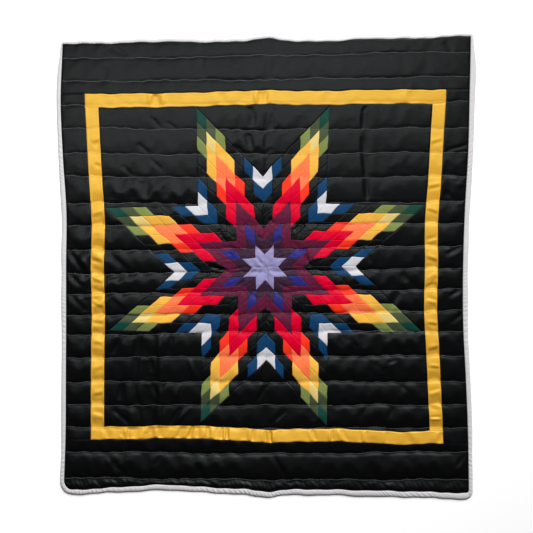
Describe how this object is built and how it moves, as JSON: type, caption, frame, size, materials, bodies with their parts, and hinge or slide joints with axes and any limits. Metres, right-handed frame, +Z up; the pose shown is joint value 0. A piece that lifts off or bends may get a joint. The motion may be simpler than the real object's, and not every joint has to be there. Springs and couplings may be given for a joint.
{
  "type": "star quilt blanket",
  "caption": "Channel-quilted throw blanket laid out flat, face up, with a pieced eight-pointed star, narrow sash, wide borders and a bound edge.",
  "frame": {"origin": "centre of the resting outline, on the surface that the quilt lies on", "axes": "+Z up through the quilt's face, +Y along its length towards the head edge, +X across it to the right as seen face on"},
  "size_m": [1.5426, 1.7154, 0.0142],
  "materials": {
    "pieced_satin": "black satin with pieced coloured satins",
    "white_edge_cloth": "plain white woven cotton"
  },
  "bodies": {
    "root": {"quilt_body": "pieced_satin", "binding_left": "white_edge_cloth", "binding_right": "white_edge_cloth", "binding_foot": "white_edge_cloth", "binding_head": "white_edge_cloth"}
  },
  "joints": []
}
